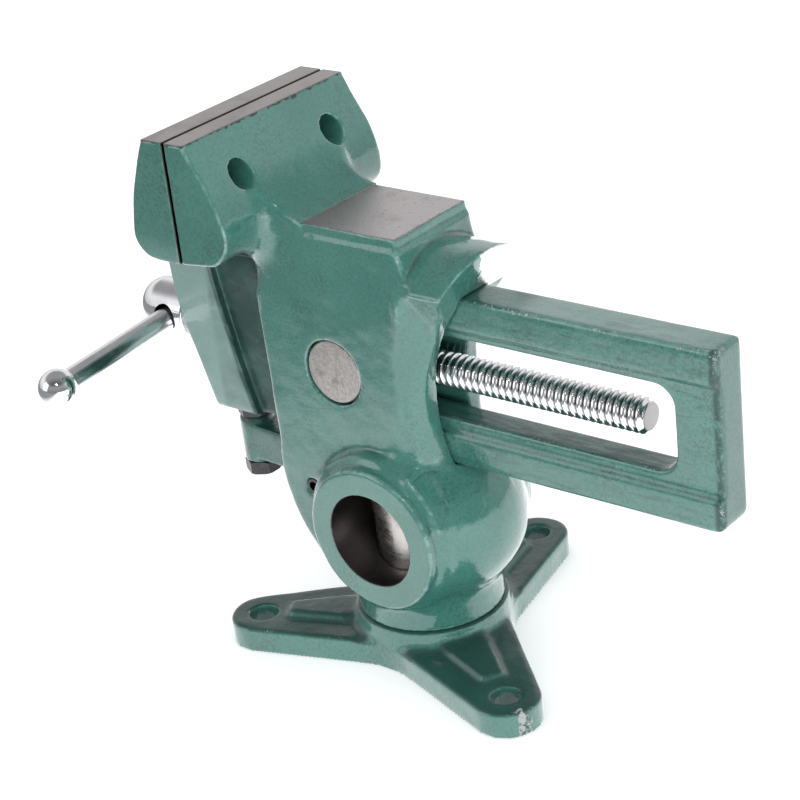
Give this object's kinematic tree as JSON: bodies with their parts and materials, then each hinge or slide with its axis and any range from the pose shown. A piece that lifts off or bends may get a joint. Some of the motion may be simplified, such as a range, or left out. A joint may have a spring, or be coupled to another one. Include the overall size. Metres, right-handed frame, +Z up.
{
  "type": "parrot vise",
  "caption": "Small bench vise whose tall body swivels on a post over a three-armed foot, with a flat anvil pad, a long slotted slide, a screw with a sliding handle and a side socket.",
  "frame": {"origin": "middle of the foot's underside, on the post axis", "axes": "+Z up along the post; the screw and slide run along Y with the slide's free end at +Y and the handle at -Y; the jaws run along X"},
  "size_m": [0.1591, 0.2704, 0.2082],
  "materials": {
    "painted_iron": "glossy green enamel on cast iron",
    "bright_steel": "turned and ground steel",
    "plated_steel": "bright plating",
    "dark_steel": "blackened steel"
  },
  "bodies": {
    "foot": {"base": "painted_iron", "post": "bright_steel", "post_bolt": "dark_steel", "post_washer": "bright_steel"},
    "vise": {"vise_body": "painted_iron", "barrel_nut": "bright_steel", "lock_pivot_pin": "dark_steel"},
    "jaw": {"moving_jaw": "painted_iron", "keeper_screw": "dark_steel"},
    "screw": {"lead_screw": "plated_steel", "screw_head": "plated_steel", "head_pin": "plated_steel", "thrust_washer": "bright_steel"},
    "handle": {"handle_bar": "plated_steel", "handle_ball_near": "plated_steel", "handle_ball_far": "plated_steel"},
    "lever": {"lock_lever": "painted_iron", "lock_jam_nut": "dark_steel"},
    "adjuster": {"lock_bolt": "dark_steel"}
  },
  "joints": [
    {"name": "swivel", "type": "hinge", "parent": "foot", "child": "vise", "pos_m": [0, 0, 0.0175], "axis": [0, 0, 1], "continuous": true},
    {"name": "jaw_slide", "type": "slide", "parent": "vise", "child": "jaw", "axis": [0, -1, 0], "range_m": [-0.001, 0.112]},
    {"name": "screw_turn", "type": "hinge", "parent": "jaw", "child": "screw", "pos_m": [0, -0.1136, 0.1181], "axis": [0, -1, 0], "range_deg": [-125, 13450]},
    {"name": "handle_slide", "type": "slide", "parent": "screw", "child": "handle", "axis": [0.9977, 0, -0.068], "range_m": [-0.051, 0.051]},
    {"name": "lock_tilt", "type": "hinge", "parent": "vise", "child": "lever", "pos_m": [0, -0.0346, 0.0663], "axis": [-1, 0, 0], "range_deg": [0, 1.2]},
    {"name": "adjuster_turn", "type": "hinge", "parent": "lever", "child": "adjuster", "pos_m": [0, -0.0816, 0.0583], "axis": [0, 0, 1], "range_deg": [-180, 180]}
  ],
  "couplings": [
    {"joint": "screw_turn", "follows": "jaw_slide", "rad_per_m": 2094.4}
  ]
}
